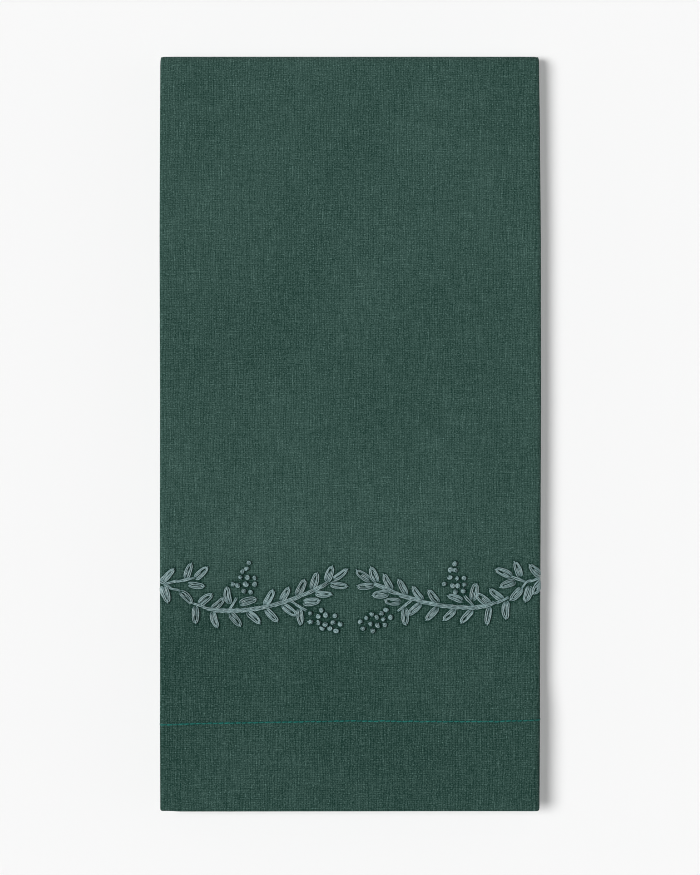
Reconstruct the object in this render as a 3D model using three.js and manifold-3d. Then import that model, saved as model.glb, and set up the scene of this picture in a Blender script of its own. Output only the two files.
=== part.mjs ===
// A folded linen hand towel: one cloth, its side thirds turned under and the whole folded once across.
// Millimetres, +Z up. The origin is in the middle of the underside, +X runs across the folded towel
// and +Y from its hemmed ends to the crosswise fold.
import * as THREE from "three";
import { mergeVertices } from "three/addons/utils/BufferGeometryUtils.js";
import Module from "manifold-3d";

// Folded size
const WIDTH = 127.2; // over the side folds, where they stand out most
const LENGTH = 251.5; // from the hemmed ends to the crosswise fold
const UNDER_SHORT = 2; // the under half ends this far inside the upper half
const FREE_EDGE_GAP = 1.2; // from a third's free edge to the fold it reaches

// Cloth
const CLOTH = 1; // one layer
const AIR = 0.3; // between two layers
const HEM_EXTRA = 0.25; // what the turned-in hem adds to one layer
const HEM_DEPTH = 29.5; // from an end to the hem's stitch line
const HEM_SLOPE = 16; // over which the layers come down from the hem
const END_ROUND = 0.4; // rounding along a hemmed end

// How far each side fold lies inside the widest line, along the towel from the hemmed end
const SIDE_INSET = [
  { along: 0, left: 0.3, right: 0.6 },
  { along: 45, left: 0.15, right: 0.35 },
  { along: 95, left: 0.1, right: 0.15 },
  { along: 135, left: 0.15, right: 0 },
  { along: 190, left: 0, right: 0.05 },
  { along: 225, left: 0.1, right: 0.35 },
  { along: LENGTH, left: 0.25, right: 0.7 },
];

// Embroidery, on the front face: two sprays that run from the side folds towards the middle. Each stem
// dips to its low point. Hand is 1 for the right-hand spray, and across counts from the towel's middle.
const STEMS = [
  { hand: 1, tip: { across: 7.9, along: 75.9 }, low: { across: 39.5, along: 67.7 }, foldAlong: 77.3 },
  { hand: -1, tip: { across: 6.9, along: 76.2 }, low: { across: 41, along: 66.6 }, foldAlong: 77 },
];
const STEM_REACH = 62; // across, where a stem meets the bend of its side fold
const STEM_WIDTH = 1.3;
const STEM_RISE = 0.6;
const LEAF_LENGTH = 5.6;
const LEAF_WIDTH = 2.5;
const LEAF_RISE = 0.75;
const KNOT_WIDTH = 1.8;
const KNOT_RISE = 1.05;
const KNOT_PITCH = 2.5;
const SUNK = 0.15; // how far the middle of a stitch lies in the cloth

// A leaf starts at a part of its stem, counted from the fold, on one side of it (1 is above), at an angle
// off the stem's run to the tip, with its foot a little off the stem
const LEAF_ROWS = [
  { count: 6, from: 0.215, pitch: 0.097, side: -1, lean: 59, off: 1 },
  { count: 5, from: 0.605, pitch: 0.094, side: 1, lean: 42, off: 0.95 },
];
const SINGLE_LEAVES = [
  { at: 0.01, side: 1, lean: 88, off: 0.2 },
  { at: 0.01, side: -1, lean: 38, off: 1 },
  { at: 0.06, side: -1, lean: 32, off: 0.9 },
  { at: 0.11, side: 1, lean: 0, off: 0 },
  { at: 0.2, side: 1, lean: 56, off: 0.8 },
  { at: 0.31, side: 1, lean: 55, off: 0.8 },
  { at: 0.41, side: 1, lean: 100, off: 2.6 },
  { at: 0.475, side: 1, lean: 18, off: 2.2 },
  { at: 0.785, side: -1, lean: 100, off: 4 },
  { at: 0.824, side: -1, lean: 18, off: 2.3 },
  { at: 0.904, side: -1, lean: 25, off: 1.2 },
  { at: 1, side: -1, lean: 35, off: 0.9 },
  { at: 1.03, side: 1, lean: 8, off: 0.2 },
];

// Side shoots: the twig with its own leaves, and the stalks that carry the bunches of knots
const TWIG = { at: 0.06, side: 1, lean: 50, length: 6 };
const TWIG_LEAVES = [
  { at: 0.3, side: 1, lean: 53, off: 0.8 },
  { at: 0.65, side: -1, lean: 36, off: 0.8 },
  { at: 1, side: 1, lean: 6, off: 0 },
];
const STALKS = [
  { at: 0.405, side: 1, lean: 56, length: 5.2, bunch: { long: 5, wide: 3.9, count: 12 } },
  { at: 0.755, side: -1, lean: 52, length: 6.8, bunch: { long: 6.2, wide: 3.8, count: 13 } },
];

// Number of steps round a bend and along a flat run
const BEND_STEPS = 6;
const THIRD_STEPS = 3;
const STEM_STEPS = 22;
const TOP_LEVEL = 5; // six layers, counted from nothing
const MID_LEVEL = TOP_LEVEL / 2;

const { lerp, smoothstep, degToRad } = THREE.MathUtils;

// How far a side fold stands in at a place along the towel
function inset(along, side) {
  const place = THREE.MathUtils.clamp(along, 0, LENGTH);
  const next = SIDE_INSET.findIndex((row, i) => i > 0 && row.along >= place);
  const [low, high] = [SIDE_INSET[next - 1], SIDE_INSET[next]];
  return lerp(low[side], high[side], smoothstep(place, low.along, high.along));
}

// One line across the cloth: its place along the towel, its turn round the crosswise fold (0 on top,
// pi underneath), and the layers' thickness there
function clothRow(along, turn, rounding = 1) {
  const hem = 1 - smoothstep(along, HEM_DEPTH, HEM_DEPTH + HEM_SLOPE);
  const thick = CLOTH + HEM_EXTRA * hem;
  const pitch = thick + AIR;
  return {
    turn,
    pitch,
    y: along - LENGTH / 2,
    thick: thick * rounding,
    axis: MID_LEVEL * pitch + thick / 2,
    left: -WIDTH / 2 + inset(along, "left") + pitch / 2 + thick / 2,
    right: WIDTH / 2 - inset(along, "right") - pitch - thick / 2,
  };
}

// The rows from the upper hemmed end, over the crosswise fold, to the under hemmed end
function clothRows() {
  const fold = LENGTH - MID_LEVEL * (CLOTH + AIR) - CLOTH / 2;
  const slope = [0, 0.25, 0.5, 0.75, 1].map((part) => HEM_DEPTH + part * HEM_SLOPE);
  const inner = [12, ...slope, 70, 95, 115, 135, 162, 190, 208, 225, 238];
  const half = (end) => [end + END_ROUND, ...inner].map((along) => [along, 1]);
  const upper = [[0, 0.45], ...half(0), [fold, 1]].map(([along, round]) => clothRow(along, 0, round));
  const under = [[UNDER_SHORT, 0.45], ...half(UNDER_SHORT), [fold, 1]]
    .reverse()
    .map(([along, round]) => clothRow(along, Math.PI, round));
  const bend = [];
  for (let step = 1; step < 2 * BEND_STEPS; step += 1) {
    bend.push(clothRow(fold, (Math.PI * step) / (2 * BEND_STEPS)));
  }
  return [...upper, ...bend, ...under];
}

// The columns from the left third's free edge to the right third's. A column gives its level under the
// front third, the way its right side faces, and its place across for a row.
function clothColumns() {
  const columns = [];
  const flat = (level, up, from, to, steps) => {
    for (let step = 0; step <= steps; step += 1) {
      const across = (row) => lerp(from(row), to(row), step / steps);
      columns.push({ level, up, out: 0, across });
    }
  };
  const bend = (side, levels, from, to) => {
    for (let step = 1; step < BEND_STEPS; step += 1) {
      const angle = lerp(from, to, step / BEND_STEPS);
      columns.push({
        level: (levels * (1 - Math.cos(angle))) / 2,
        up: Math.cos(angle),
        out: side * Math.sin(angle),
        across: (row) =>
          (side < 0 ? row.left : row.right) + (side * levels * row.pitch * Math.sin(angle)) / 2,
      });
    }
  };
  const left = (row) => row.left;
  const right = (row) => row.right;
  flat(1, -1, (row) => row.right - FREE_EDGE_GAP, left, THIRD_STEPS);
  bend(-1, 1, Math.PI, 0);
  flat(0, 1, left, right, THIRD_STEPS);
  bend(1, 2, 0, Math.PI);
  flat(2, -1, right, (row) => row.left + FREE_EDGE_GAP, THIRD_STEPS);
  return columns;
}

// A point on the cloth's right side (face 1) or wrong side (face -1)
function clothPoint(column, row, face) {
  const half = (face * row.thick) / 2;
  const reach = (MID_LEVEL - column.level) * row.pitch + column.up * half;
  return [
    column.across(row) + column.out * half,
    row.y + reach * Math.sin(row.turn),
    row.axis + reach * Math.cos(row.turn),
  ];
}

// The cloth as one closed sheet: both sides as grids of points, joined round all four edges
function clothSheet() {
  const rows = clothRows();
  const columns = clothColumns();
  const points = [];
  for (const face of [1, -1]) {
    for (const row of rows) {
      for (const column of columns) points.push(clothPoint(column, row, face));
    }
  }
  const wide = columns.length;
  const index = (face, r, c) => (face > 0 ? 0 : rows.length * wide) + r * wide + c;
  const triangles = [];
  const quad = (a, b, c, d) => triangles.push([a, b, c], [a, c, d]);
  for (let r = 0; r + 1 < rows.length; r += 1) {
    for (let c = 0; c + 1 < wide; c += 1) {
      quad(index(1, r, c), index(1, r, c + 1), index(1, r + 1, c + 1), index(1, r + 1, c));
      quad(index(-1, r, c), index(-1, r + 1, c), index(-1, r + 1, c + 1), index(-1, r, c + 1));
    }
    quad(index(1, r, 0), index(1, r + 1, 0), index(-1, r + 1, 0), index(-1, r, 0));
    const end = wide - 1;
    quad(index(-1, r, end), index(-1, r + 1, end), index(1, r + 1, end), index(1, r, end));
  }
  const last = rows.length - 1;
  for (let c = 0; c + 1 < wide; c += 1) {
    quad(index(-1, 0, c), index(-1, 0, c + 1), index(1, 0, c + 1), index(1, 0, c));
    quad(index(1, last, c), index(1, last, c + 1), index(-1, last, c + 1), index(-1, last, c));
  }
  const sheet = new THREE.BufferGeometry();
  sheet.setAttribute("position", new THREE.Float32BufferAttribute(points.flat(), 3));
  sheet.setIndex(triangles.flat());
  return sheet;
}

const FRONT = TOP_LEVEL * (CLOTH + AIR) + CLOTH; // height of the embroidered face
const UP = new THREE.Vector3(0, 0, 1);

// A stem: two stretches of parabola that meet level at the low point, from the fold to the tip
function stemRun({ hand, tip, low, foldAlong }) {
  const at = (across, along) => new THREE.Vector3(hand * across, along - LENGTH / 2, 0);
  const dip = at(low.across, low.along);
  const level = (end) => at((low.across + end) / 2, low.along);
  const run = new THREE.CurvePath();
  run.add(new THREE.QuadraticBezierCurve3(at(STEM_REACH, foldAlong), level(STEM_REACH), dip));
  run.add(new THREE.QuadraticBezierCurve3(dip, level(tip.across), at(tip.across, tip.along)));
  return run;
}

// A place and heading beside a run of thread
function beside(run, hand, { at, side, lean, off = 0 }) {
  const part = THREE.MathUtils.clamp(at, 0, 1);
  const ahead = run.getTangentAt(part);
  const foot = run.getPointAt(part).addScaledVector(ahead, (at - part) * run.getLength());
  const turned = (degrees) => ahead.clone().applyAxisAngle(UP, degToRad(-hand * side * degrees));
  return { foot: foot.addScaledVector(turned(90), off), heading: turned(lean) };
}

// A straight shoot off a run of thread
function shoot(run, hand, row) {
  const { foot, heading } = beside(run, hand, row);
  return new THREE.LineCurve3(foot, foot.clone().addScaledVector(heading, row.length));
}

// A leaf: a flat oval with its foot beside a run of thread
function leaf(run, hand, row) {
  const { foot, heading } = beside(run, hand, row);
  const oval = new THREE.SphereGeometry(1, 8, 4);
  oval.scale(LEAF_WIDTH / 2, LEAF_LENGTH / 2, LEAF_RISE + SUNK);
  oval.rotateZ(Math.atan2(heading.y, heading.x) - Math.PI / 2);
  const middle = foot.addScaledVector(heading, LEAF_LENGTH / 2);
  return oval.translate(middle.x, middle.y, FRONT - SUNK);
}

// A run of stem stitches: a low rounded ridge
function ridge(run, steps) {
  const section = new THREE.Shape();
  section.absellipse(0, 0, STEM_RISE + SUNK, STEM_WIDTH / 2, 0, 2 * Math.PI);
  const options = { steps, curveSegments: 5, bevelEnabled: false, extrudePath: run };
  return new THREE.ExtrudeGeometry(section, options).translate(0, 0, FRONT - SUNK);
}

// A bunch of knots at the end of a stalk: staggered rows, filled from the middle outwards
function bunchOfKnots(stalk, { long, wide, count }) {
  const ahead = stalk.getTangent(1);
  const sideways = ahead.clone().applyAxisAngle(UP, Math.PI / 2);
  const middle = stalk.getPoint(1).addScaledVector(ahead, long - KNOT_WIDTH / 2);
  const places = [];
  for (let row = -3; row <= 3; row += 1) {
    for (let column = -3; column <= 3; column += 1) {
      const u = row * KNOT_PITCH * Math.sqrt(0.75);
      const v = (column + (row % 2 === 0 ? 0 : 0.5)) * KNOT_PITCH;
      places.push({ u, v, far: Math.hypot(u / long, v / wide) });
    }
  }
  places.sort((a, b) => a.far - b.far);
  const height = KNOT_RISE + SUNK;
  return places.slice(0, count).map(({ u, v }) => {
    const place = middle.clone().addScaledVector(ahead, u).addScaledVector(sideways, v);
    const knot = new THREE.SphereGeometry(KNOT_WIDTH / 2, 6, 4).rotateX(Math.PI / 2);
    knot.scale(1, 1, height / KNOT_WIDTH);
    return knot.translate(place.x, place.y, FRONT - SUNK + height / 2);
  });
}

// One spray, as the forms that stand on the front face
function spray(stemRow) {
  const { hand } = stemRow;
  const stem = stemRun(stemRow);
  const twig = shoot(stem, hand, TWIG);
  const forms = [ridge(stem, STEM_STEPS), ridge(twig, 1)];
  for (const { count, from, pitch, ...row } of LEAF_ROWS) {
    for (let k = 0; k < count; k += 1) forms.push(leaf(stem, hand, { ...row, at: from + k * pitch }));
  }
  for (const row of SINGLE_LEAVES) forms.push(leaf(stem, hand, row));
  for (const row of TWIG_LEAVES) forms.push(leaf(twig, hand, row));
  for (const row of STALKS) {
    const stalk = shoot(stem, hand, row);
    forms.push(ridge(stalk, 1), ...bunchOfKnots(stalk, row.bunch));
  }
  return forms;
}

const wasm = await Module();
wasm.setup();

function toSolid(geometry) {
  const plain = geometry.clone();
  plain.deleteAttribute("normal");
  plain.deleteAttribute("uv");
  const welded = mergeVertices(plain, 1e-4);
  return new wasm.Manifold(
    new wasm.Mesh({
      numProp: 3,
      vertProperties: new Float32Array(welded.getAttribute("position").array),
      triVerts: new Uint32Array(welded.index.array),
    }),
  );
}

function toGeometry(solid) {
  const mesh = solid.getMesh();
  const geometry = new THREE.BufferGeometry();
  geometry.setAttribute("position", new THREE.BufferAttribute(mesh.vertProperties, 3));
  geometry.setIndex(new THREE.BufferAttribute(mesh.triVerts, 1));
  geometry.computeVertexNormals();
  return geometry;
}

const embroidery = STEMS.flatMap(spray);
const towel = embroidery.map(toSolid).reduce((all, form) => all.add(form), toSolid(clothSheet()));

const linen = new THREE.MeshStandardMaterial({ color: 0x37514a, roughness: 0.9, metalness: 0 });
const cloth = new THREE.Mesh(toGeometry(towel), linen);
cloth.name = "linen_towel";

const group = new THREE.Group();
group.name = "folded_linen_towel";
group.add(cloth);
export default group;
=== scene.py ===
"""A folded linen hand towel: its cloth, embroidered sprays and stitched hems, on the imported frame.

Shapes are worked out in millimetres and put into the scene in metres. Across counts over the cloth
from the towel's middle line, along from the hemmed end of the upper half, and lift from the right
side of the cloth outwards.
"""

import math

import bpy
import numpy as np
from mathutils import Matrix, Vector
from mathutils.kdtree import KDTree


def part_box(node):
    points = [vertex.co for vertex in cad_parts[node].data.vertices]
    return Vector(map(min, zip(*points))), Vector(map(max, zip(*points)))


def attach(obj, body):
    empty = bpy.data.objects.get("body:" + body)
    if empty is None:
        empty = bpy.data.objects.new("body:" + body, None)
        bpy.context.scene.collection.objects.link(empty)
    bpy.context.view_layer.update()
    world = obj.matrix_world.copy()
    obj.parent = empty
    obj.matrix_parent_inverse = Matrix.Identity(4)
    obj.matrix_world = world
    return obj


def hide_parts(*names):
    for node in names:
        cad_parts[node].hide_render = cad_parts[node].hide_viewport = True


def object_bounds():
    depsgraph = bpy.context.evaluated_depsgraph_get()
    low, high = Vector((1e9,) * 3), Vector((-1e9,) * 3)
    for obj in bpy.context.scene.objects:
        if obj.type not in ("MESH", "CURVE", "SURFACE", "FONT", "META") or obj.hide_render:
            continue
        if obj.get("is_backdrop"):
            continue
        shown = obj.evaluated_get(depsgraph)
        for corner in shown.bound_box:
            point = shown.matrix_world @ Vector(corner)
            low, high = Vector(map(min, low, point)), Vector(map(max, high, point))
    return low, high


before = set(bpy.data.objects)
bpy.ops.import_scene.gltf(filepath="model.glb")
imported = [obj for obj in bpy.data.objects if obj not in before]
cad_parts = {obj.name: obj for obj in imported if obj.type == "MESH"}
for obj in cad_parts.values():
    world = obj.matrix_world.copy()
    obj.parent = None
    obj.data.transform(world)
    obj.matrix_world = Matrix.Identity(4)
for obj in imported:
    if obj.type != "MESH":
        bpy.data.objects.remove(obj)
cad_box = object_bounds()
LOW, HIGH = (1000 * np.array(corner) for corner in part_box("linen_towel"))

# Folded size, how much shorter the under half is, the share by which it is narrower, and how far the
# free edges of the side thirds stop short of the folds
WIDTH = HIGH[0] - LOW[0]
LENGTH = HIGH[1] - LOW[1]
UNDER_SHORT = 2.0
UNDER_NARROW = 0.006
FREE_EDGE_GAP = 1.2

# Layers: the room each takes in the stack, the air between, and the linen itself
LAYER = 1.0
AIR = 0.3
LINEN = 0.8

# The end hems: the extra room a layer takes there, which falls away up a slope, how far the inner ply
# is turned in, and how thick each ply is
HEM_EXTRA = 0.25
HEM_DEPTH = 29.5
HEM_SLOPE = 16.0
HEM_TURN_IN = 30.8
HEM_LINEN = 0.6

# Levels count layers down from the front, so the middle of the stack is between the third and fourth
MID_LEVEL = 2.5
TOP = 2 * MID_LEVEL * (LAYER + AIR) + LAYER
CROSS_FOLD = LENGTH - TOP / 2

# The pressed side folds are squarer than half circles, which would be 1
BEND_ROUND = 0.74

# How far each side fold lies inside the widest line: along, left, right
SIDE_INSET = np.array([
    (0, 0.3, 0.6),
    (45, 0.15, 0.35),
    (95, 0.1, 0.15),
    (135, 0.15, 0.0),
    (190, 0.0, 0.05),
    (225, 0.1, 0.35),
    (LENGTH, 0.25, 0.7),
])

# Soft ridges and troughs in the pressed cloth: across, along, bearing, half length, half width, rise
SWELLS = [
    (-46, 196, 78, 44, 13, 0.34),
    (-12, 214, 84, 40, 15, -0.24),
    (28, 205, 96, 46, 16, 0.22),
    (50, 168, 88, 40, 12, -0.2),
    (-30, 140, 70, 42, 14, -0.2),
    (8, 132, 104, 46, 16, 0.24),
    (44, 112, 82, 34, 13, 0.2),
    (-48, 98, 92, 36, 12, 0.22),
    (-8, 92, 12, 40, 9, -0.14),
    (-34, 48, 4, 34, 8, -0.16),
    (30, 50, -6, 36, 8, -0.18),
    (10, 14, 86, 18, 14, 0.14),
]

# The hem's stitch line wanders: across, along
STITCH_LINE = np.array([
    (-64, 28.8),
    (-46, 29.3),
    (-26, 29.6),
    (0, 30.1),
    (24, 29.9),
    (48, 29.9),
    (64, 30.4),
])

# The hemmed ends are not quite straight: across, and how far the upper and the under end fall short,
# which fades out over a reach
END_LINE = np.array([
    (-64, 0.08, -0.2),
    (-60, 0.1, -0.05),
    (-57, -0.1, 0.1),
    (-40, -0.1, 0.35),
    (-12, -0.06, 0.1),
    (20, 0.0, -0.15),
    (46, 0.02, 0.25),
    (64, 0.0, 0.45),
])
END_REACH = 14.0

# Below the front each layer's end lies a step back: the step, how many of them by level, and how far
# along they fade out
LEVEL_STEP = 0.5
STEP_LEVELS = (0, 0.5, 1, 2)
STEP_COUNTS = (0, 0, 1, 2)
STEP_FADE = 40

# The corners of the crosswise fold are pressed out square: left, right
CORNER_PUSH = (0.65, 1.1)

# The hem's machine stitches: pitch, length and how it differs, half thickness, slant and scatter, how
# deep they sink and how far they rise, and the groove that they press
STITCH_PITCH = 1.91
STITCH_LENGTH = 1.8
STITCH_LENGTHS = (0.96, 1.05)
STITCH_RADIUS = 0.3
STITCH_SLANT = 0.12
STITCH_SCATTER = 0.04
STITCH_LIFT = (-0.16, 0.3)
STITCH_GROOVE = 0.16
GROOVE_WIDTH = 0.9

# How far from the stitch line the rows of the cloth's mesh follow its wandering
LINE_FOLLOWED = 8

# Embroidered sprays: the right-hand one has hand 1. Points are across, along, and a shoulder is the
# place across and the rise where the stem swings up to its twig. The twig leaves the stem at a part
# of it, counted from the fold, and runs to a point.
STEMS = [
    {"hand": 1, "tip": (7.9, 75.9), "low": (39.5, 67.7), "fold_along": 77.3, "shoulder": (58.5, 1.5)},
    {"hand": -1, "tip": (6.9, 76.2), "low": (41.0, 66.6), "fold_along": 75.9, "shoulder": (57.0, 1.3)},
]
TWIGS = {1: (0.065, (53.5, 78.2)), -1: (0.004, (51.5, 77.5))}
SHOULDER_WIDTH = 2.0

# Stems run from a reach across. Their stitches start at a part of the stem, leave a break, and have more
# strands from a fuller part on, with a lap. Each stitch is longer than the step to the next, and slants
# more with more strands.
STEM_REACH = 62.0
STEM_START = -0.03
STEM_BREAK = (0.105, 0.195)
STEM_FULL = 0.33
STEM_LAP = 0.05
STEM_STRANDS = 3
STEM_STITCH = 4.6
STEM_STEP = 2.3
STEM_SLANT = 0.03
STRAND_SLANT = 0.07
SLANT_SPREAD = 0.06
STEM_TONE = 0.6
STEM_LIFT = (-0.4, 0.76)
STEM_ARCH = 0.6

# Floss: a strand's half width, how much taller than wide it stands, the pitch of strands in a stitch,
# how much flatter it is drawn over the side folds, and how thin a thread's ends are
STRAND = 0.25
STRAND_TALL = 1.4
STRAND_PITCH = 0.43
PRESSED = 0.6
THIN_END = 0.72

# How uneven strands are: their drift aside and in height, their thickness and their tone
ASIDE_DRIFT = 0.07
LIFT_DRIFT = 0.06
GIRTH_DRIFT = 0.1
STRAND_TONE = 0.7

# Leaves: length and width, how single ones differ in those and in lean, bow and tone, and the loop's
# form: how round, how wide at its foot, how much narrower at its tip, and how soon it is up
LEAF_LENGTH = 4.9
LEAF_LENGTHS = (0.93, 1.07)
LEAF_WIDTH = 2.66
LEAF_WIDTHS = (0.88, 1.16)
LEAF_LEAN = 4
LEAF_BOW = 0.14
LEAF_TONE = 0.5
LOOP_ROUND = 0.62
LOOP_FOOT = 1.06
LOOP_TAPER = 0.24
LOOP_CLIMB = 0.75
LOOP_LIFT = (-0.35, 0.73)

# How leaves are filled: the share of them, and how far up the leaf its two middle strands reach. The
# strands start past the foot, each aside from the leaf's middle line, and close in towards their ends.
LEAF_FILLS = [
    {"share": 0.25, "reaches": (0.84, 0.5)},
    {"share": 0.55, "reaches": (0.68, 0.6)},
    {"share": 0.2, "reaches": (0.86, 0.8)},
]
FILL_REACHES = (0.92, 1.08)
FILL_START = 0.1
FILL_ASIDE = 0.29
FILL_CLOSE = 0.1
FILL_STRAY = 0.07
FILL_LIFT = (-0.35, 0.68)

# The tack over a leaf's tip: how far before the tip it starts, its length, sideways spread and lighter tone
TACK_BACK = 0.5
TACK_LENGTH = 1.15
TACK_SPREAD = 0.2
TACK_TONE = 1.4
TACK_LIFT = (-0.05, 0.72)

# Knots: width, how single ones differ in size, the floss's half width, turns wound, how oval, the middle
# and spread of their tones, and how the coil climbs
KNOT_WIDTH = 1.95
KNOT_SIZES = (0.8, 1.14)
KNOT_FLOSS = 0.32
KNOT_TURNS = (0.6, 1.1)
KNOT_SQUASH = (0.6, 1.0)
KNOT_TONE = (0.3, 0.8)
COIL_LIFT = (0.2, 0.35, 0.3)
COIL_CLIMB = 0.4
COIL_DRIFT = 0.16

# The ends drawn over a knot: the turn between them, their half length in coils, how far they rise and
# from where, how far aside they lie, and how much lighter they are, the middle a painted highlight on the
# knot's top and the spread their own tone
OVER_TURN = (50, 110)
OVER_REACH = (0.7, 1.25)
OVER_RISE = (0.75, 1.05)
OVER_LOW = 0.05
OVER_SPREAD = 0.12
OVER_HIGHLIGHT_TONE = (0.6, 0.8)

# Bunches: the pitch of knots in a row, the pitch of rows, and how far off a knot is set
KNOT_PITCH = 2.25
KNOT_ROW = 2.4
KNOT_SCATTER = 0.32

# Stitches draw the cloth in: how far round them, and how deep. The same reach masks the painted shade round
# them on the linen.
DRAWN_FROM = 0.3
DRAWN_TO = 1.3
DRAWN_DEEP = 0.22

# A leaf starts at a part of its stem, on one side of it (1 is above), at an angle off the stem's run
# to the tip, with its foot a little off the stem
LEAF_ROWS = [
    {"leans": (70, 64, 49, 50, 55, 64), "from": 0.222, "pitch": 0.098, "side": -1, "off": 1.0},
    {"leans": (46, 39, 41, 46, 42), "from": 0.615, "pitch": 0.094, "side": 1, "off": 0.8},
]
SINGLE_LEAVES = [
    {"at": 0.11, "side": 1, "lean": 5, "off": 0.0},
    {"at": 0.236, "side": 1, "lean": 62, "off": 0.4},
    {"at": 0.315, "side": 1, "lean": 56, "off": 0.4},
    {"at": 0.41, "side": 1, "lean": 100, "off": 2.6},
    {"at": 0.475, "side": 1, "lean": 18, "off": 2.2},
    {"at": 0.785, "side": -1, "lean": 100, "off": 4.0},
    {"at": 0.824, "side": -1, "lean": 18, "off": 2.3},
    {"at": 0.904, "side": -1, "lean": 25, "off": 1.2},
    {"at": 1.0, "side": -1, "lean": 35, "off": 0.9},
    {"at": 1.03, "side": 1, "lean": 8, "off": 0.2},
]

# Leaves near the side fold, for each hand
FOLD_LEAVES = {
    1: [
        {"at": -0.022, "side": 1, "lean": 78, "off": 0.0},
        {"at": -0.015, "side": -1, "lean": 32, "off": 1.3},
        {"at": 0.055, "side": -1, "lean": 52, "off": 1.9},
    ],
    -1: [
        {"at": -0.01, "side": 1, "lean": 93, "off": 0.2},
        {"at": 0.01, "side": -1, "lean": 34, "off": 1.0},
    ],
}

# Leaves of each hand's twig, counted in millimetres back from its end
TWIG_LEAVES = {
    1: [
        {"back": 2.9, "side": 1, "lean": 43, "off": 1.2},
        {"back": 1.8, "side": -1, "lean": 46, "off": 1.3},
        {"back": 0.0, "side": 1, "lean": 2, "off": 0.0},
    ],
    -1: [
        {"back": 3.1, "side": 1, "lean": 62, "off": 0.6},
        {"back": 2.6, "side": -1, "lean": 16, "off": 1.7},
        {"back": 0.0, "side": 1, "lean": 26, "off": 0.0},
    ],
}

# Stalks that end in a bunch of knots, and each bunch's middle, bearing and count of knots by row
STALKS = [
    {"at": 0.405, "side": 1, "lean": 56, "off": 0.0, "length": 5.2},
    {"at": 0.755, "side": -1, "lean": 52, "off": 0.0, "length": 6.8},
]
BUNCHES = [
    {"middle": (34.9, 77.7), "bearing": 94, "rows": (2, 4, 3, 2, 1)},
    {"middle": (8.4, 63.3), "bearing": -158, "rows": (2, 3, 3, 3, 2)},
]

hand_work = np.random.default_rng(11)


def smooth(value, low, high):
    part = np.clip((value - low) / (high - low), 0, 1)
    return part * part * (3 - 2 * part)


# Folding the cloth


def hem_share(along):
    """1 in the hem, falling to 0 up the slope above it."""
    return 1 - smooth(along, HEM_DEPTH, HEM_DEPTH + HEM_SLOPE)


def layer(along):
    """The room of one layer, and the pitch from layer to layer."""
    room = LAYER + HEM_EXTRA * hem_share(along)
    return room, room + AIR


def bend_lines(along):
    """Where the flat front ends and each side bend begins."""
    room, pitch = layer(along)
    left = -WIDTH / 2 + np.interp(along, SIDE_INSET[:, 0], SIDE_INSET[:, 1]) + (pitch + room) / 2
    right = WIDTH / 2 - np.interp(along, SIDE_INSET[:, 0], SIDE_INSET[:, 2]) - pitch - room / 2
    return left, right


def turn_sides_under(across, along):
    """A place's x and level once the side thirds are under, and how its right side faces: out and up."""
    pitch = layer(along)[1]
    x = np.array(across, float)
    level, out, up = np.zeros_like(x), np.zeros_like(x), np.ones_like(x)
    for side, line, levels in zip((-1, 1), bend_lines(along), (1, 2)):
        radius = levels * pitch / 2
        past = side * (across - line)
        angle = np.clip(past / radius, 0, math.pi)
        beyond = np.maximum(past - math.pi * radius, 0)
        sine, cosine = np.abs(np.sin(angle)), np.cos(angle)
        facing = np.stack([sine ** (2 - BEND_ROUND), np.sign(cosine) * np.abs(cosine) ** (2 - BEND_ROUND)])
        facing /= np.hypot(*facing)
        bent = past > 0
        x = np.where(bent, line + side * (radius * sine ** BEND_ROUND - beyond), x)
        drop = 1 - np.sign(cosine) * np.abs(cosine) ** BEND_ROUND
        level = np.where(bent, levels * drop / 2, level)
        out = np.where(bent, side * facing[0], out)
        up = np.where(bent, facing[1], up)
    return x, level, out, up


def swell(x, along):
    """How far the pressed stack's top stands above or below its flat height."""
    rise = np.zeros_like(x)
    for centre, middle, bearing, half_long, half_wide, high in SWELLS:
        c, s = math.cos(math.radians(bearing)), math.sin(math.radians(bearing))
        u = (x - centre) * c + (along - middle) * s
        w = (along - middle) * c - (x - centre) * s
        rise += high * np.exp(-((u / half_long) ** 2) - (w / half_wide) ** 2)
    return rise


def fold(across, along, turn, depth):
    """A point of the folded towel. Depth counts from a layer's middle to the cloth's right side, and
    turn is the angle round the crosswise fold: 0 on top, pi underneath."""
    room, pitch = layer(along)
    x, level, out, up = turn_sides_under(across, along)
    reach = (MID_LEVEL - level) * pitch + up * depth
    z = MID_LEVEL * pitch + room / 2 + reach * np.cos(turn)
    shorter = LEVEL_STEP * np.interp(level, STEP_LEVELS, STEP_COUNTS) * (1 - smooth(along, 0, STEP_FADE))
    upper_end, under_end = (np.interp(x, END_LINE[:, 0], column) for column in END_LINE[:, 1:].T)
    shorter += np.where(turn < math.pi / 2, upper_end, under_end) * (1 - smooth(along, 0, END_REACH))
    corner = np.where(out < 0, *CORNER_PUSH) * out ** 4
    y = along + shorter + (reach + corner) * np.sin(turn)
    x = (x + out * depth) * (1 - UNDER_NARROW * (1 - np.cos(turn)) / 2)
    from_line = (along - stitch_line(across)) / GROOVE_WIDTH
    groove = STITCH_GROOVE * np.exp(-(from_line ** 2)) * (level < 0.5)
    z = z * (1 + swell(x, along) / TOP) - groove * np.cos(turn)
    return np.stack([x, y - LENGTH / 2, z], axis=-1)


def stitch_line(across):
    return np.interp(across, STITCH_LINE[:, 0], STITCH_LINE[:, 1])


def on_front(across, along, lift, turn=0.0):
    """A point above the right side of the upper half. Thread is drawn flatter over the side folds."""
    out = turn_sides_under(across, along)[2]
    lift = lift * (1 - PRESSED * np.abs(out))
    return fold(across, along, np.full_like(across, turn), layer(along)[0] / 2 + lift)


def on_back(across, along, lift):
    return on_front(across, along, lift, math.pi)


# The cloth


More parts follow.
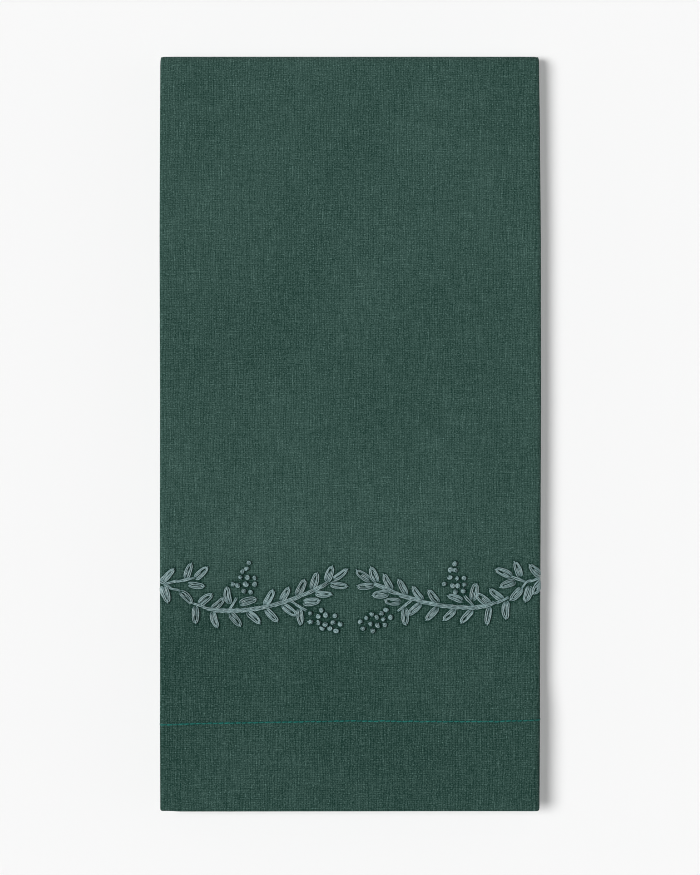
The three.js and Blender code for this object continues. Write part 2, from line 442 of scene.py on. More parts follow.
def cloth_rows():
    """Rows over the cloth, hem edge to hem edge: along, depth, which way the right side faces in those
    two directions, turn, thickness, and the place along the flat cloth."""
    rows = []

    def ply(places, turn, face, flat):
        for along in places:
            thick = LINEN - (LINEN - HEM_LINEN) * hem_share(along)
            depth = face * (layer(along)[0] - thick) / 2
            rows.append((along, depth, 0.0, face, turn, thick, flat(along)))

    def hem_bend(end, turn, angles, flat):
        room = layer(end)[0]
        radius = (room - HEM_LINEN) / 2
        for angle in angles:
            along = end + room / 2 - radius * math.sin(angle)
            rows.append((along, radius * math.cos(angle), -math.sin(angle), math.cos(angle),
                         turn, HEM_LINEN, flat(along)))

    hem_places = [1.2, 4, 8, 12, 16, 20, 24, 27, 29, HEM_TURN_IN]
    near_line = [28.2, 28.9, 29.3, 29.6, 29.9, 30.2, 30.6, 31.2, 32]
    upper = [0.9, 2, 4, 7, *np.arange(10, 27.1, 2.1), *near_line, *np.arange(33.5, 57, 2.2),
             *np.arange(57, 87, 0.6), *np.arange(88.5, CROSS_FOLD - 1, 2.6)]
    under = [2.9, 4, 6, *np.arange(9, 27.1, 3), *near_line, *np.arange(34, CROSS_FOLD - 1, 4.5)]
    round_fold = MID_LEVEL * (LAYER + AIR)
    back_flat = CROSS_FOLD + math.pi * round_fold
    bend = np.linspace(0, math.pi, 7)[1:-1]

    ply(hem_places[::-1], 0.0, -1, lambda along: -along)
    hem_bend(0.0, 0.0, bend[::-1], lambda along: along)
    ply([*upper, CROSS_FOLD], 0.0, 1, lambda along: along)
    for turn in np.linspace(0, math.pi, 21)[1:-1]:
        ply([CROSS_FOLD], turn, 1, lambda along: along + turn * round_fold)
    ply([CROSS_FOLD, *under[::-1]], math.pi, 1, lambda along: back_flat + CROSS_FOLD - along)
    hem_bend(UNDER_SHORT, math.pi, bend, lambda along: back_flat + CROSS_FOLD - along)
    ply([UNDER_SHORT + place for place in hem_places], math.pi, -1,
        lambda along: back_flat + CROSS_FOLD + along)
    return rows


def cloth_columns():
    """Places over the cloth from one free edge to the other: 0 to 5 by its two thirds, bends and front."""
    runs = [(0, 1, 12), (1, 2, 14), (2, 3, 118), (3, 4, 16), (4, 5, 12)]
    return np.concatenate([np.linspace(a, b, steps, endpoint=False) for a, b, steps in runs] + [[5.0]])


def across_places(columns, along):
    """Each column's place across the cloth, in a row."""
    left, right = bend_lines(along)
    pitch = layer(along)[1]
    left_bend, right_bend = math.pi * pitch / 2, math.pi * pitch
    third = right - left - FREE_EDGE_GAP
    stops = [left - left_bend - third, left - left_bend, left, right, right + right_bend,
             right + right_bend + third]
    return np.interp(columns, np.arange(6), stops)


def drawn_in(points, thread_points):
    """How far stitches draw the cloth in at points of it, from 0 to 1."""
    tree = KDTree(len(thread_points))
    for index, point in enumerate(thread_points):
        tree.insert(point, index)
    tree.balance()
    reach = np.array([tree.find(point)[2] for point in points])
    return 1 - smooth(reach, DRAWN_FROM, DRAWN_TO)


def cloth_sheet(thread_points):
    rows, columns = cloth_rows(), cloth_columns()
    faces_points, weave = [], []
    for face in (1, -1):
        for along, depth, to_end, to_right, turn, thick, flat in rows:
            across = across_places(columns, along)
            followed = math.exp(-(((along - HEM_DEPTH) / LINE_FOLLOWED) ** 2))
            half = face * thick / 2
            place = along + to_end * half + (stitch_line(across) - HEM_DEPTH) * followed
            angle = np.full_like(across, turn)
            faces_points.append(fold(across, place, angle, depth + to_right * half))
            weave.append(np.stack([across, np.full_like(across, flat), np.zeros_like(across)], -1))
    grid = np.arange(2 * len(rows) * len(columns)).reshape(2, len(rows), len(columns))
    right, wrong = grid
    quads = [
        strip(right[:-1, :-1], right[:-1, 1:], right[1:, 1:], right[1:, :-1]),
        strip(wrong[:-1, :-1], wrong[1:, :-1], wrong[1:, 1:], wrong[:-1, 1:]),
        strip(right[:-1, 0], right[1:, 0], wrong[1:, 0], wrong[:-1, 0]),
        strip(wrong[:-1, -1], wrong[1:, -1], right[1:, -1], right[:-1, -1]),
        strip(wrong[0, :-1], wrong[0, 1:], right[0, 1:], right[0, :-1]),
        strip(right[-1, :-1], right[-1, 1:], wrong[-1, 1:], wrong[-1, :-1]),
    ]
    points, weave = np.concatenate(faces_points), np.concatenate(weave)
    draw_in_and_shade_mask = drawn_in(points[right.ravel()], thread_points)
    points[right.ravel(), 2] -= DRAWN_DEEP * draw_in_and_shade_mask
    # The draw-in is also kept as the mask for the linen's painted shade round the stitches
    weave[right.ravel(), 2] = draw_in_and_shade_mask
    piece = mesh_piece("towel_cloth", points, np.concatenate(quads), linen())
    hold(piece.data, "weave", "FLOAT_VECTOR", weave)
    return piece


def strip(*corners):
    return np.stack([c.ravel() for c in corners], axis=-1)


def mesh_piece(name, points, faces, material):
    """A smooth mesh object from points in millimetres."""
    mesh = bpy.data.meshes.new(name)
    mesh.from_pydata((points / 1000).tolist(), [], [list(map(int, f)) for f in faces])
    mesh.shade_smooth()
    mesh.materials.append(material)
    piece = bpy.data.objects.new(name, mesh)
    bpy.context.scene.collection.objects.link(piece)
    return piece


def hold(mesh, name, kind, values):
    """Keeps a value for each point of a mesh, for its material to read."""
    kept = mesh.attributes.new(name, kind, "POINT")
    key = "vector" if kind == "FLOAT_VECTOR" else "value"
    kept.data.foreach_set(key, np.asarray(values, np.float32).ravel())


# Threads


class Threads:
    """Gathers strands laid on the cloth into one mesh."""

    def __init__(self):
        self.points, self.faces, self.lay_of, self.tones = [], [], [], []
        self.count = 0

    def lay(self, path, radius, tone, place=on_front, tall=1.0, sides=7, lumps=0.0):
        """Adds one strand along a path of across, along and lift, thinner and closed at its ends."""
        path = np.asarray(path, float)
        ahead = np.gradient(path, axis=0)
        ahead /= np.linalg.norm(ahead, axis=1, keepdims=True)
        level = np.cross((0, 0, 1), ahead)
        level /= np.maximum(np.linalg.norm(level, axis=1, keepdims=True), 1e-6)
        above = np.cross(ahead, level)
        steps = np.linalg.norm(np.diff(path, axis=0), axis=1)
        far = np.concatenate([[0], np.cumsum(steps)])
        ends = np.minimum(far, far[-1] - far)
        girth = radius * (THIN_END + (1 - THIN_END) * smooth(ends, 0, 2 * radius)) * (1 + lumps)
        angle = np.arange(sides) * 2 * math.pi / sides
        wide, high = np.cos(angle)[None, :, None], tall * np.sin(angle)[None, :, None]
        ring = wide * level[:, None] + high * above[:, None]
        rings = (path[:, None] + girth[:, None, None] * ring).reshape(-1, 3)
        self.points.append(place(rings[:, 0], rings[:, 1], rings[:, 2]))
        index = self.count + np.arange(len(path) * sides).reshape(len(path), sides)
        onward = np.roll(index, -1, axis=1)
        self.faces += strip(index[:-1], onward[:-1], onward[1:], index[1:]).tolist()
        self.faces += [index[0, ::-1].tolist(), index[-1].tolist()]
        round_strand = np.tile(angle, len(path))
        around = [np.repeat(far, sides), np.cos(round_strand), np.sin(round_strand)]
        self.lay_of.append(np.stack(around, -1))
        self.tones.append(np.full(len(rings), tone))
        self.count += len(rings)

    def piece(self, name, material):
        made = mesh_piece(name, np.concatenate(self.points), self.faces, material)
        hold(made.data, "lay", "FLOAT_VECTOR", np.concatenate(self.lay_of))
        hold(made.data, "tone", "FLOAT", np.concatenate(self.tones))
        return made


def turned(heading, degrees):
    c, s = math.cos(math.radians(degrees)), math.sin(math.radians(degrees))
    return np.array([heading[0] * c - heading[1] * s, heading[0] * s + heading[1] * c])


class Run:
    """A line of thread over the cloth, from its foot to its tip."""

    # The part of a run on each side of a place over which its heading is taken
    near = 0.004

    def __init__(self, points):
        self.points = np.asarray(points, float)
        steps = np.hypot(*np.diff(self.points, axis=0).T)
        self.far = np.concatenate([[0], np.cumsum(steps)])
        self.length = self.far[-1]

    def at(self, part):
        """Point and heading at a part of the run, straight on past its ends."""
        inside = min(max(part, 0.0), 1.0)
        spots = np.clip([inside - self.near, inside, inside + self.near], 0, 1) * self.length
        before, here, after = np.stack([np.interp(spots, self.far, c) for c in self.points.T], -1)
        heading = (after - before) / np.hypot(*(after - before))
        return here + heading * (part - inside) * self.length, heading

    def beside(self, hand, row):
        """Foot and heading of what starts beside the run."""
        point, ahead = self.at(row["at"])
        way = -hand * row["side"]
        return point + turned(ahead, 90 * way) * row["off"], turned(ahead, way * row["lean"])

    def shoot(self, hand, row):
        foot, heading = self.beside(hand, row)
        return straight_run(foot, foot + heading * row["length"])

    def part_of(self, start, end):
        return Run([self.at(part)[0] for part in np.linspace(start, end, 60)])


def straight_run(start, end):
    return Run([np.add(start, np.subtract(end, start) * part) for part in np.linspace(0, 1, 12)])


def stem_run(hand, tip, low, fold_along, shoulder):
    """Two stretches of parabola that meet level at the low point, from the fold to the tip."""
    from_fold = np.linspace(STEM_REACH, low[0], 60)
    to_tip = np.linspace(low[0], tip[0], 40)[1:]
    lift = shoulder[1] * np.exp(-(((from_fold - shoulder[0]) / SHOULDER_WIDTH) ** 2))
    outer = low[1] + (fold_along - low[1]) * ((from_fold - low[0]) / (STEM_REACH - low[0])) ** 2 + lift
    inner = low[1] + (tip[1] - low[1]) * ((to_tip - low[0]) / (tip[0] - low[0])) ** 2
    across = hand * np.concatenate([from_fold, to_tip])
    return Run(np.column_stack([across, np.concatenate([outer, inner])]))


def wander(count, size):
    """A slow random drift along a strand."""
    part = np.linspace(0, 1, count)
    drift = np.zeros(count)
    for waves in (1, 2, 3):
        start = hand_work.uniform(0, 2)
        drift += hand_work.normal(0, size / waves) * np.sin(math.pi * (waves * part + start))
    return drift


def arch(part, lift, power=0.5):
    """The lift along a stitch that goes down into the cloth at both ends: its depth there, and its rise."""
    depth, rise = lift
    return depth + rise * np.sin(math.pi * part) ** power


def floss_stitch(threads, path, tone, strands=2):
    """One stitch of floss along a path: strands side by side, none quite parallel."""
    path = np.asarray(path, float)
    ahead = np.gradient(path[:, :2], axis=0)
    ahead /= np.linalg.norm(ahead, axis=1, keepdims=True)
    sideways = np.column_stack([-ahead[:, 1], ahead[:, 0]])
    for strand in range(strands):
        aside = (strand - (strands - 1) / 2) * STRAND_PITCH + wander(len(path), ASIDE_DRIFT)
        flat = path[:, :2] + sideways * aside[:, None]
        lift = path[:, 2] - DRAWN_DEEP + wander(len(path), LIFT_DRIFT)
        threads.lay(np.column_stack([flat, lift]), STRAND, tone + hand_work.normal(0, STRAND_TONE),
                    tall=STRAND_TALL, lumps=wander(len(path), GIRTH_DRIFT))


def leaf_stitch(threads, foot, heading):
    """A detached chain stitch: a loop of floss, straight stitches up from the foot that leave a slit
    open or fill it, and a tack at the tip."""
    heading = turned(heading, hand_work.normal(0, LEAF_LEAN))
    beside = turned(heading, 90)
    length = LEAF_LENGTH * hand_work.uniform(*LEAF_LENGTHS)
    half = LEAF_WIDTH / 2 * hand_work.uniform(*LEAF_WIDTHS) - STRAND - STRAND_PITCH / 2
    bow = hand_work.normal(0, LEAF_BOW)
    tone = hand_work.normal(0, LEAF_TONE)

    def path(forward, sideways, lift):
        curved = sideways + bow * np.sin(math.pi * np.clip(forward / length, 0, 1))
        flat = foot + np.outer(forward, heading) + np.outer(curved, beside)
        return np.column_stack([flat, lift])

    round_loop = np.linspace(0, 2 * math.pi, 29)
    from_foot = np.minimum(round_loop, 2 * math.pi - round_loop)
    to_tip = (1 - np.cos(round_loop)) / 2
    swing = np.sign(np.sin(round_loop)) * np.abs(np.sin(round_loop)) ** LOOP_ROUND
    sideways = half * swing * (LOOP_FOOT - LOOP_TAPER * to_tip)
    lift = LOOP_LIFT[0] + LOOP_LIFT[1] * smooth(from_foot, 0, LOOP_CLIMB)
    floss_stitch(threads, path(to_tip * length, sideways, lift), tone)

    fill = LEAF_FILLS[hand_work.choice(len(LEAF_FILLS), p=[row["share"] for row in LEAF_FILLS])]
    part = np.linspace(0, 1, 11)
    side = hand_work.choice([-1, 1])
    for reach, way in zip(fill["reaches"], (side, -side)):
        forward = FILL_START + part * length * reach * hand_work.uniform(*FILL_REACHES)
        aside = way * FILL_ASIDE * (1 - FILL_CLOSE * part) + hand_work.normal(0, FILL_STRAY) * part
        floss_stitch(threads, path(forward, aside, arch(part, FILL_LIFT)), tone, 1)

    part = np.linspace(0, 1, 7)
    forward = length - TACK_BACK + TACK_LENGTH * part
    aside = hand_work.normal(0, TACK_SPREAD) * part
    floss_stitch(threads, path(forward, aside, arch(part, TACK_LIFT)), tone + TACK_TONE, 1)


def stem_stitches(threads, run, strands=2):
    """Slanting stitches that overlap like the turns of a rope."""
    count = max(2, round((run.length - STEM_STITCH) / STEM_STEP) + 1)
    starts = np.linspace(0, max(run.length - STEM_STITCH, 0.3 * STEM_STEP), count)
    part = np.linspace(0, 1, 11)
    for start in starts:
        reach = min(STEM_STITCH, run.length - start)
        slant = hand_work.normal(STEM_SLANT + STRAND_SLANT * strands, SLANT_SPREAD)
        line = []
        for p in part:
            point, ahead = run.at((start + p * reach) / run.length)
            line.append(point + turned(ahead, 90) * slant * (2 * p - 1))
        path = np.column_stack([line, arch(part, STEM_LIFT, STEM_ARCH)])
        floss_stitch(threads, path, hand_work.normal(0, STEM_TONE), strands)


def knot_stitch(threads, centre):
    """A knot: floss wound about once round, with short ends of it drawn down over the coil."""
    size = hand_work.uniform(*KNOT_SIZES)
    radius = KNOT_FLOSS * size
    coil = KNOT_WIDTH / 2 * size - radius
    wound = np.linspace(0, 1, 20)
    start = hand_work.uniform(0, 2 * math.pi)
    angle = start + wound * hand_work.uniform(*KNOT_TURNS) * 2 * math.pi
    squash = hand_work.uniform(*KNOT_SQUASH)
    lean = hand_work.uniform(0, 180)
    oval = coil * np.column_stack([np.cos(angle), squash * np.sin(angle)])
    flat = centre + np.array([turned(point, lean) for point in oval])
    low, climb, rise = COIL_LIFT
    lift = low - DRAWN_DEEP + climb * smooth(wound, 0, COIL_CLIMB) + rise * wound
    tone = hand_work.normal(*KNOT_TONE)
    threads.lay(np.column_stack([flat, lift]), radius, tone, lumps=wander(len(wound), COIL_DRIFT))
    part = np.linspace(0, 1, 9)
    for bearing, strands in ((0, 2), (hand_work.uniform(*OVER_TURN), 1)):
        over = turned((1, 0), math.degrees(start) + bearing)
        aside = turned(over, 90) * hand_work.normal(0, OVER_SPREAD)
        flat = centre + aside + np.outer((2 * part - 1) * hand_work.uniform(*OVER_REACH) * coil, over)
        lift = arch(part, (OVER_LOW, hand_work.uniform(*OVER_RISE)))
        # The ends over the top are painted lighter, a painted highlight on the knot
        floss_stitch(threads, np.column_stack([flat, lift]), tone + hand_work.normal(*OVER_HIGHLIGHT_TONE), strands)


def knot_places(hand, middle, bearing, rows):
    """Rows of knots across a bunch, from the stalk outwards, staggered and each set a little off."""
    ahead = np.array([hand * math.cos(math.radians(bearing)), math.sin(math.radians(bearing))])
    sideways = turned(ahead, 90)
    for row, count in enumerate(rows):
        u = (row - (len(rows) - 1) / 2) * KNOT_ROW
        for column in range(count):
            v = (column - (count - 1) / 2 + 0.5 * (row % 2) - 0.25) * KNOT_PITCH
            spot = (hand * middle[0], middle[1]) + ahead * u + sideways * v
            yield spot + hand_work.normal(0, KNOT_SCATTER, 2)


def embroidery():
    """Both sprays, as leaves, stems and knots."""
    leaves, stems, knots = Threads(), Threads(), Threads()
    for row in STEMS:
        hand = row["hand"]
        stem = stem_run(**row)
        twig_at, twig_end = TWIGS[hand]
        twig = straight_run(stem.at(twig_at)[0], (hand * twig_end[0], twig_end[1]))
        stem_stitches(stems, stem.part_of(STEM_START, STEM_BREAK[0]))
        stem_stitches(stems, stem.part_of(STEM_BREAK[1], STEM_FULL))
        stem_stitches(stems, stem.part_of(STEM_FULL - STEM_LAP, 1), STEM_STRANDS)
        stem_stitches(stems, twig)
        for leaf_row in LEAF_ROWS:
            for k, lean in enumerate(leaf_row["leans"]):
                at = leaf_row["from"] + k * leaf_row["pitch"]
                leaf_stitch(leaves, *stem.beside(hand, {**leaf_row, "at": at, "lean": lean}))
        for leaf_row in SINGLE_LEAVES + FOLD_LEAVES[hand]:
            leaf_stitch(leaves, *stem.beside(hand, leaf_row))
        for leaf_row in TWIG_LEAVES[hand]:
            at = 1 - leaf_row["back"] / twig.length
            leaf_stitch(leaves, *twig.beside(hand, {**leaf_row, "at": at}))
        for stalk_row, bunch in zip(STALKS, BUNCHES):
            stem_stitches(stems, stem.shoot(hand, stalk_row))
            for place in knot_places(hand, **bunch):
                knot_stitch(knots, place)
    floss = floss_thread()
    return [
        leaves.piece("embroidered_leaves", floss),
        stems.piece("embroidered_stems", floss),
        knots.piece("embroidered_knots", floss),
    ]


def all_points(pieces):
    """Every point of some pieces, in millimetres."""
    return [1000 * point.co for piece in pieces for point in piece.data.vertices]


def hem_stitches():
    """The machine stitching that holds the end hems, on the upper half and on the under half."""
    threads = Threads()
    reach = WIDTH / 2 + 5
    part = np.linspace(0, 1, 9)
    for place in (on_front, on_back):
        for start in np.arange(-reach, reach, STITCH_PITCH):
            across = start + part * STITCH_LENGTH * hand_work.uniform(*STITCH_LENGTHS)
            slant = (part - 0.5) * STITCH_SLANT
            along = stitch_line(across) + slant + hand_work.normal(0, STITCH_SCATTER)
            path = np.column_stack([across, along, arch(part, STITCH_LIFT)])
            threads.lay(path, STITCH_RADIUS, hand_work.normal(0, STRAND_TONE), place)
    return threads.piece("hem_stitching", sewing_thread())


# Materials


# Colours from dark to light, and the linen's own share of the way
LINEN_DARK = (0.005, 0.030, 0.022)
LINEN_LIGHT = (0.157, 0.276, 0.243)
LINEN_SHARE = 0.239
FLOSS_DARK = (0.026, 0.058, 0.055)
FLOSS_LIGHT = (0.202, 0.318, 0.325)
TEAL_DARK = (0.003, 0.035, 0.03)
TEAL_LIGHT = (0.013, 0.152, 0.126)

# Linen yarns: the pitch of those that run along the towel and of those that run across it
WARP_PITCH = 0.855
WEFT_PITCH = 0.711

# Groups of yarns drift by some pitches, over a distance across the yarns and along them
YARN_DRIFT = 1.1
DRIFT_ACROSS = 9
DRIFT_ALONG = 18

# One yarn sways, and has slubs where it is thick: parts of a pitch, over a length, with a step in the
# noise that makes the next yarn different
YARN_HALF = 0.44
SWAY = 0.2
SWAY_LENGTH = 15
SWAY_STEP = 5.3
SLUB = 0.08
SLUB_LENGTH = 9
SLUB_STEP = 3.71
SLUB_LEAST = -0.3

# How far a yarn rises and dips where it crosses others, and how deep the gaps are
CROSSING = 0.45
GAP_LEVEL = -0.4

# Light streaks of fibre along the yarns: fineness, length, the least that shows, and the strengths of
# the plain and the sharp ones for each set of yarns
STREAK_FINE = 3.2
STREAK_LENGTH = 7
STREAK_LEAST = 0.3
WARP_STREAKS = (0.6, 0.34)
WEFT_STREAKS = (0.42, 0.26)

# What lightens and darkens the linen, as shares of the way from dark to light. The rounding and crest shares
# are painted shade down each yarn's sides and in the gaps, and painted light on its crown and where the weave
# stands high.
WARP_ROUND_SHADE = 0.35
WEFT_ROUND_SHADE = 0.23
PAINTED_CREST_LEAST = 0.05
PAINTED_CREST_BY_HEIGHT = 0.08
MEAN_HEIGHT = 0.9
WARP_SLUB_LIGHT = 0.28
WEFT_SLUB_LIGHT = 0.2
SPECK_LIGHT = 0.4
FUZZ_FINE = 2.4
FUZZ_LIGHT = 0.225
FUZZ_CURVE = (0.5, 0.6, 1.2)
LINT_LIGHT = 0.6
LINT_LEAST = 0.62
CLOUD_LIGHT = 0.05
EVEN_DARK = 0.023
# Painted shade on the cloth round the stitches, and more right against them
PAINTED_STITCH_SHADE = 0.03
PAINTED_CLOSE_SHADE = 0.13

# The cloth is a little darker from the sprays down: the stretch along over which it turns, and the share
SPRAY_FROM = 60.0
SPRAY_TO = 78.0
BELOW_DARK = 0.04

# Threads: where a strand's painted shaded side ends and its painted lit top begins, the top's share, and what
# varies it
STRAND_SIDE = 0.1
STRAND_TOP = 0.95
PAINTED_TOP_LIGHT = 0.8
TONE_LIGHT = 0.16
PLY_LIGHT = 0.05
FIBRE_LIGHT = 0.42
TONE_STEP = 9
FIBRE_LENGTH = 0.7
FIBRE_FINE = 3


class Shade:
    """A shader socket. Python's operators join sockets and numbers through Math nodes."""

    def __init__(self, tree, socket=None):
        self.tree = tree
        self.socket = socket

    def node(self, kind, settings=None, sockets=None, output=0):
        """Adds a node, sets it up, fills its sockets and gives back one of its outputs."""
        made = self.tree.nodes.new("ShaderNode" + kind)
        for name, value in (settings or {}).items():
            setattr(made, name, value)
        for name, value in (sockets or {}).items():
            if isinstance(value, Shade):
                self.tree.links.new(value.socket, made.inputs[name])
            else:
                made.inputs[name].default_value = value
        return Shade(self.tree, made.outputs[output])

    def join(self, operation, *values):
        return self.node("Math", {"operation": operation}, dict(enumerate(values)))

    def math(self, operation, *others):
        """This value through a Math node, with any others after it."""
        return self.join(operation, self, *others)

    def __add__(self, other):
        return self.join("ADD", self, other)

    def __sub__(self, other):
        return self.join("SUBTRACT", self, other)

    def __rsub__(self, other):
        return self.join("SUBTRACT", other, self)

    def __mul__(self, other):
        return self.join("MULTIPLY", self, other)

    def __truediv__(self, other):
        return self.join("DIVIDE", self, other)

    __radd__ = __add__
    __rmul__ = __mul__


def new_material(name, **constant):
    """A new material: its tree as a Shade, and its main shader, with the values that hold all over."""
    material = bpy.data.materials.new(name)
    material.use_nodes = True
    shader = material.node_tree.nodes["Principled BSDF"]
    for socket, value in constant.items():
        shader.inputs[socket.replace("_", " ")].default_value = value
    return material, Shade(material.node_tree), shader


def feed(shade, shader, socket, value):
    shade.tree.links.new(value.socket, shader.inputs[socket])


def point_value(shade, name, output):
    return shade.node("Attribute", {"attribute_name": name}, output=output)


def noise(shade, place, detail=2.0):
    """Noise about nothing, from about -1 to 1."""
    field = shade.node("TexNoise", {"noise_dimensions": "3D"},
                       {"Vector": place, "Scale": 1.0, "Detail": detail, "Roughness": 0.55})
    return (field - 0.5) * 2.6


def eased(shade, value, span, ends):
    """A value eased over a span, from one end value to the other."""
    sockets = {"Value": value, "From Min": span[0], "From Max": span[1], "To Min": ends[0], "To Max": ends[1]}
    return shade.node("MapRange", {"interpolation_type": "SMOOTHSTEP"}, sockets)


def blended(shade, dark, light, share):
    """A colour between a dark and a light one."""
    return shade.node("Mix", {"data_type": "RGBA"}, {0: share, 6: (*dark, 1), 7: (*light, 1)}, 2)


def vector(shade, x, y, z):
    return shade.node("CombineXYZ", None, {"X": x, "Y": y, "Z": z})


def split(shade, value):
    """The three parts of a vector."""
    parts = shade.node("SeparateXYZ", None, {0: value}).socket.node
    return [Shade(shade.tree, socket) for socket in parts.outputs]


def relief(shade, shader, strength, distance, height):
    """Fine relief, by a height that changes over the surface."""
    bump = shade.node("Bump", None, {"Strength": strength, "Distance": distance, "Height": height})
    feed(shade, shader, "Normal", bump)


class Yarns:
    """One set of the linen's yarns. Over counts across them, and run along them."""

    def __init__(self, shade, over, run, pitch, seeds, warp):
        self.shade, self.over, self.run, self.warp = shade, over, run, warp
        drift_seed, slub_seed, sway_seed = seeds
        drift = noise(shade, self.place(over / DRIFT_ACROSS, run / DRIFT_ALONG, drift_seed))
        at = over / pitch + YARN_DRIFT * drift
        self.number = at.math("FLOOR")
        slub = noise(shade, self.place(self.number * SLUB_STEP, run / SLUB_LENGTH, slub_seed), 3.0)
        self.slub = slub.math("MAXIMUM", SLUB_LEAST)
        sway = noise(shade, self.place(self.number * SWAY_STEP, run / SWAY_LENGTH, sway_seed))
        off = (at - self.number - 0.5 + SWAY * sway) / (YARN_HALF + SLUB * self.slub)
        self.off_squared = off * off

    def place(self, over, run, seed):
        return vector(self.shade, over, run, seed) if self.warp else vector(self.shade, run, over, seed)

    def streaks(self, seed, plain, sharp):
        """Light fibres along the yarns."""
        place = self.place(self.over * STREAK_FINE, self.run / STREAK_LENGTH, seed)
        field = noise(self.shade, place)
        return plain * (field - STREAK_LEAST).math("MAXIMUM", 0.0) + sharp * field * field * field


def weave_height(warp, weft):
    """How high the face of a plain weave stands, and 1 where a warp yarn is on top."""
    pair = (warp.number + weft.number) * 0.5
    over = CROSSING - 4 * CROSSING * pair.math("FRACT")
    warp_height = 1 - warp.off_squared + over
    weft_height = 1 - weft.off_squared - over
    warp_on_top = warp_height.math("GREATER_THAN", weft_height)
    return warp_height.math("MAXIMUM", weft_height).math("MAXIMUM", GAP_LEVEL), warp_on_top


def linen():
    """Plain-woven linen: uneven yarns over and under each other, each yarn thick and thin, light and dark
    along its length, with painted shade in the gaps and down the yarns' sides, painted light on their crowns,
    and painted shade round the stitches."""
    material, shade, shader = new_material("green_linen", Roughness=0.88, Specular_IOR_Level=0.15)
    across, along, draw_in_and_shade_mask = split(shade, point_value(shade, "weave", "Vector"))
    warp = Yarns(shade, across, along, WARP_PITCH, (3.7, 0.0, 80.0), True)
    weft = Yarns(shade, along, across, WEFT_PITCH, (9.1, 40.0, 120.0), False)
    height, warp_on_top = weave_height(warp, weft)

    # Painted shade down the yarns' sides and in the gaps between them, and painted light on their crowns and
    # high places
    painted_crest = (1 - WARP_ROUND_SHADE * warp.off_squared) * (1 - WEFT_ROUND_SHADE * weft.off_squared)
    painted_crest = painted_crest.math("MAXIMUM", PAINTED_CREST_LEAST) + PAINTED_CREST_BY_HEIGHT * (height - MEAN_HEIGHT)
    speck = shade.node("TexWhiteNoise", {"noise_dimensions": "3D"},
                       {"Vector": vector(shade, warp.number, weft.number, warp_on_top)})
    gain = 1 + WARP_SLUB_LIGHT * warp.slub + WEFT_SLUB_LIGHT * weft.slub + SPECK_LIGHT * (speck - 0.5)

    fuzz = noise(shade, vector(shade, across * FUZZ_FINE, along * FUZZ_FINE, 7.0), 0.0)
    level, tilt, curve = FUZZ_CURVE
    fibres = FUZZ_LIGHT * fuzz * (level + tilt * fuzz + curve * fuzz * fuzz)
    streaks = warp.streaks(21.0, *WARP_STREAKS) + weft.streaks(27.0, *WEFT_STREAKS)
    lint = noise(shade, vector(shade, across * 1.7, along * 1.3, 33.0))
    lint = (lint - LINT_LEAST).math("MAXIMUM", 0.0)
    cloud = noise(shade, vector(shade, across / 40, along / 60, 5.0))
    lights = fibres + streaks + LINT_LIGHT * lint + CLOUD_LIGHT * cloud - EVEN_DARK

    below_spray = eased(shade, along, (SPRAY_FROM, SPRAY_TO), (-BELOW_DARK, 0.0))
    # Painted shade round the stitches, deepest right against them
    close_shade_mask = draw_in_and_shade_mask * draw_in_and_shade_mask
    painted_shade = PAINTED_STITCH_SHADE * draw_in_and_shade_mask + PAINTED_CLOSE_SHADE * close_shade_mask * close_shade_mask
    share = LINEN_SHARE * painted_crest * gain + lights + below_spray - painted_shade
    feed(shade, shader, "Base Color", blended(shade, LINEN_DARK, LINEN_LIGHT, share))
    relief(shade, shader, 0.5, 0.00012, height + 0.3 * fuzz)
    return material


def thread_material(name, dark, light, shine, side, twist):
    """Twisted thread: a helix of plies, fine fibres along it, a tone for each stitch, painted shade down the
    sides of each strand where one lies against the next, and painted light on its top. Shine is its roughness
    and how strongly it reflects, and side is how light its painted sides are."""
    material, shade, shader = new_material(name, Roughness=shine[0], Specular_IOR_Level=shine[1])
    far, level, above = split(shade, point_value(shade, "lay", "Vector"))
    tone = point_value(shade, "tone", "Fac")
    phase = far * (2 * math.pi / twist) + tone * TONE_STEP
    ply = phase.math("SINE") * level + phase.math("COSINE") * above
    fibre_place = (far * FIBRE_LENGTH, level * FIBRE_FINE + tone * TONE_STEP, above * FIBRE_FINE)
    fibre = noise(shade, vector(shade, *fibre_place))
    # Painted shade down the strand's sides and painted light on its top, by how far its surface faces up
    painted_crest = eased(shade, above, (STRAND_SIDE, STRAND_TOP), (side, PAINTED_TOP_LIGHT))
    share = painted_crest + TONE_LIGHT * tone + PLY_LIGHT * ply + FIBRE_LIGHT * fibre
    feed(shade, shader, "Base Color", blended(shade, dark, light, share))
    relief(shade, shader, 0.6, 0.00008, ply + 0.6 * fibre)
    return material


def floss_thread():
    return thread_material("embroidery_floss", FLOSS_DARK, FLOSS_LIGHT, (0.38, 0.75), -0.22, 2.4)


def sewing_thread():
    return thread_material("teal_sewing_thread", TEAL_DARK, TEAL_LIGHT, (0.6, 0.2), 0.45, 0.9)


# Studio

# The camera's lens, sensor and place, and the lights: elevation, spread and strength
CAMERA_LENS = 120.0
SENSOR = 36.0
CAMERA_PLACE = (-0.12, -1.45, 978.5)
KEY_ELEVATION = 55.5
KEY_SPREAD = 30
KEY_STRENGTH = 2.48
TOP_SPREAD = 8
TOP_STRENGTH = 0.98
FILL_ELEVATION = 170
FILL_SPREAD = 40
FILL_STRENGTH = 0.22

# The surround is bright near the horizon and dark overhead: strengths, and the heights between which it turns
BACKDROP = 1.1
OVERHEAD = 0.05
HORIZON = (0.05, 0.25)
FLOOR_SIDE = 12.0
FLOOR_PALE = (0.9, 0.9, 0.9, 1)
PIXEL_FILTER = 1.0


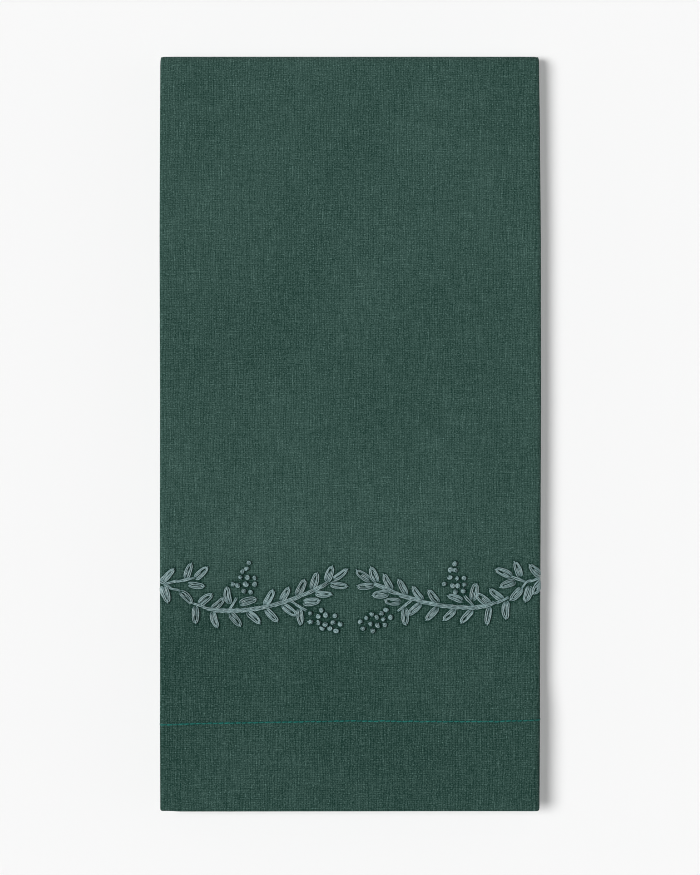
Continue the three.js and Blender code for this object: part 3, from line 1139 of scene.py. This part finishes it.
def sun(name, elevation, spread, strength):
    """A broad, even light, at an elevation in degrees from the left-hand horizon over to the right."""
    light = bpy.data.lights.new(name, "SUN")
    light.energy = strength
    light.angle = math.radians(spread)
    lamp = bpy.data.objects.new(name, light)
    lamp.rotation_euler = (0, math.radians(elevation - 90), 0)
    bpy.context.scene.collection.objects.link(lamp)


def studio():
    camera = bpy.data.cameras.new("camera")
    camera.lens = CAMERA_LENS
    camera.sensor_width = SENSOR
    camera.clip_end = 50
    eye = bpy.data.objects.new("camera", camera)
    eye.location = Vector(CAMERA_PLACE) / 1000
    bpy.context.scene.collection.objects.link(eye)
    bpy.context.scene.camera = eye

    sun("key", KEY_ELEVATION, KEY_SPREAD, KEY_STRENGTH)
    sun("top_light", 90, TOP_SPREAD, TOP_STRENGTH)
    sun("fill", FILL_ELEVATION, FILL_SPREAD, FILL_STRENGTH)
    world = bpy.data.worlds.new("studio")
    world.use_nodes = True
    sky = world.node_tree.nodes["Background"]
    sky.inputs["Color"].default_value = (1, 1, 1, 1)
    shade = Shade(world.node_tree)
    up = split(shade, shade.node("TexCoord", output="Generated"))[2]
    heights = {"From Min": HORIZON[0], "From Max": HORIZON[1]}
    band = {"Value": up, **heights, "To Min": BACKDROP, "To Max": OVERHEAD}
    feed(shade, sky, "Strength", shade.node("MapRange", None, band))
    bpy.context.scene.world = world
    bpy.context.scene.view_settings.view_transform = "Standard"
    bpy.context.scene.cycles.filter_width = PIXEL_FILTER
    bpy.context.scene.cycles.denoising_prefilter = "NONE"

    half = FLOOR_SIDE * 500
    corners = np.array([(-half, -half, 0), (half, -half, 0), (half, half, 0), (-half, half, 0)], float)
    floor_material, _, _ = new_material("pale_floor", Base_Color=FLOOR_PALE, Roughness=0.9)
    floor = mesh_piece("floor", corners, [(0, 1, 2, 3)], floor_material)
    floor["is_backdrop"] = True


studio()
sprays = embroidery()
stitched = [*sprays, hem_stitches()]
cloth = cloth_sheet(all_points(sprays))
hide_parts("linen_towel")
for piece in [cloth, *stitched]:
    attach(piece, "root")

boxes = {"cad": cad_box, "visual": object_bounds()}
{name: [list(corner) for corner in box] for name, box in boxes.items()}
